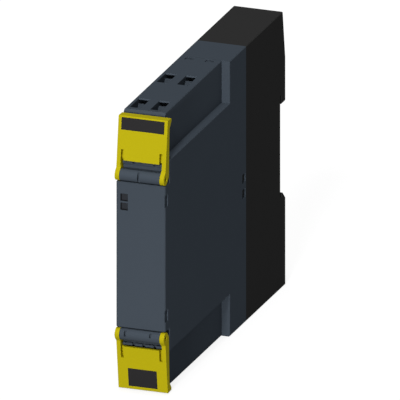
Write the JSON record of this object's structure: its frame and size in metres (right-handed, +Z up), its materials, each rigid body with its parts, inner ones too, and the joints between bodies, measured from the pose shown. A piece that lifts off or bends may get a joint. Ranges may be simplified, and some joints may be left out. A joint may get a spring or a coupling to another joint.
{
  "type": "interface relay",
  "caption": "Slim rail-mounted interface relay: grey hood on a black base, hinged yellow flaps over plug-in terminal blocks, indicator windows and a force-guided relay inside.",
  "frame": {"origin": "middle of the flat bottom the device stands on", "axes": "+Z up; +Y from the front panel back to the rail channel; +X to the right seen from the front"},
  "size_m": [0.0178, 0.1216, 0.1],
  "materials": {
    "housing_grey": "fine moulded grain, satin",
    "base_black": "fine moulded grain, satin",
    "flap_yellow": "smooth moulded, satin",
    "plate_black": "smooth",
    "guide_dark": "smooth, tinted",
    "lamp_white": "smooth",
    "board_green": "solder resist",
    "chip_black": "moulded",
    "can_aluminium": "drawn can",
    "absorber_blue": "dipped coating",
    "relay_black": "moulded",
    "relay_clear": "smooth",
    "bobbin_white": "moulded",
    "winding_copper": "enamelled wire",
    "magnet_iron": "plated",
    "spring_steel": "bright strip",
    "contact_brass": "tinned brass"
  },
  "bodies": {
    "housing": {"front_housing": "housing_grey", "rear_housing": "base_black", "rail_spring": "spring_steel", "upper_terminal_block": "housing_grey", "lower_terminal_block": "housing_grey", "circuit_board": "board_green", "power_light_guide": "guide_dark", "status_light_guide": "guide_dark", "power_lamp": "lamp_white", "status_lamp": "lamp_white", "input_controller": "chip_black", "coil_driver": "chip_black", "smoothing_capacitor": "can_aluminium", "surge_absorber": "absorber_blue", "relay_base": "relay_black", "relay_cover": "relay_clear", "coil_bobbin": "bobbin_white", "coil_winding": "winding_copper", "coil_core": "magnet_iron", "magnet_yoke": "magnet_iron", "coil_pins": "contact_brass", "upper_pin_header": "relay_black", "upper_header_blades": "contact_brass", "upper_busbar_1": "contact_brass", "upper_clamp_spring_1": "spring_steel", "upper_busbar_2": "contact_brass", "upper_clamp_spring_2": "spring_steel", "upper_busbar_3": "contact_brass", "upper_clamp_spring_3": "spring_steel", "upper_busbar_4": "contact_brass", "upper_clamp_spring_4": "spring_steel", "lower_pin_header": "relay_black", "lower_header_blades": "contact_brass", "lower_busbar_1": "contact_brass", "lower_clamp_spring_1": "spring_steel", "lower_busbar_2": "contact_brass", "lower_clamp_spring_2": "spring_steel", "lower_busbar_3": "contact_brass", "lower_clamp_spring_3": "spring_steel", "lower_busbar_4": "contact_brass", "lower_clamp_spring_4": "spring_steel", "fixed_contact_1": "contact_brass", "fixed_contact_2": "contact_brass", "fixed_contact_3": "contact_brass"},
    "upper_flap": {"upper_flap": "flap_yellow", "upper_flap_plate": "plate_black"},
    "lower_flap": {"lower_flap": "flap_yellow", "lower_flap_plate": "plate_black"},
    "armature": {"armature": "magnet_iron"},
    "switching_card": {"switching_card": "bobbin_white"},
    "moving_contact_1": {"moving_contact_1": "contact_brass"},
    "moving_contact_2": {"moving_contact_2": "contact_brass"},
    "moving_contact_3": {"moving_contact_3": "contact_brass"}
  },
  "joints": [
    {"name": "upper_flap_hinge", "type": "hinge", "parent": "housing", "child": "upper_flap", "pos_m": [0, -0.0587, 0.0789], "axis": [1, 0, 0], "range_deg": [0, 110]},
    {"name": "lower_flap_hinge", "type": "hinge", "parent": "housing", "child": "lower_flap", "pos_m": [0, -0.0587, 0.0211], "axis": [-1, 0, 0], "range_deg": [0, 110]},
    {"name": "armature_hinge", "type": "hinge", "parent": "housing", "child": "armature", "pos_m": [0.0011, -0.0213, 0.057], "axis": [1, 0, 0], "range_deg": [0, 5], "stiffness_Nm_per_rad": 0.01, "springref_deg": -5.73},
    {"name": "card_slide", "type": "slide", "parent": "housing", "child": "switching_card", "axis": [0, 1, 0], "range_m": [0, 0.00101]},
    {"name": "contact_1_flex", "type": "hinge", "parent": "housing", "child": "moving_contact_1", "pos_m": [-0.0028, -0.0397, 0.05], "axis": [0, 0, 1], "range_deg": [0, 6.61]},
    {"name": "contact_2_flex", "type": "hinge", "parent": "housing", "child": "moving_contact_2", "pos_m": [-0.0028, -0.0337, 0.05], "axis": [0, 0, 1], "range_deg": [0, 6.61]},
    {"name": "contact_3_flex", "type": "hinge", "parent": "housing", "child": "moving_contact_3", "pos_m": [-0.0028, -0.0277, 0.05], "axis": [0, 0, 1], "range_deg": [0, 6.61]}
  ],
  "couplings": [
    {"joint": "card_slide", "follows": "armature_hinge", "m_per_rad": 0.0116},
    {"joint": "contact_1_flex", "follows": "armature_hinge", "ratio": 1.3182},
    {"joint": "contact_2_flex", "follows": "armature_hinge", "ratio": 1.3182},
    {"joint": "contact_3_flex", "follows": "armature_hinge", "ratio": 1.3182}
  ]
}
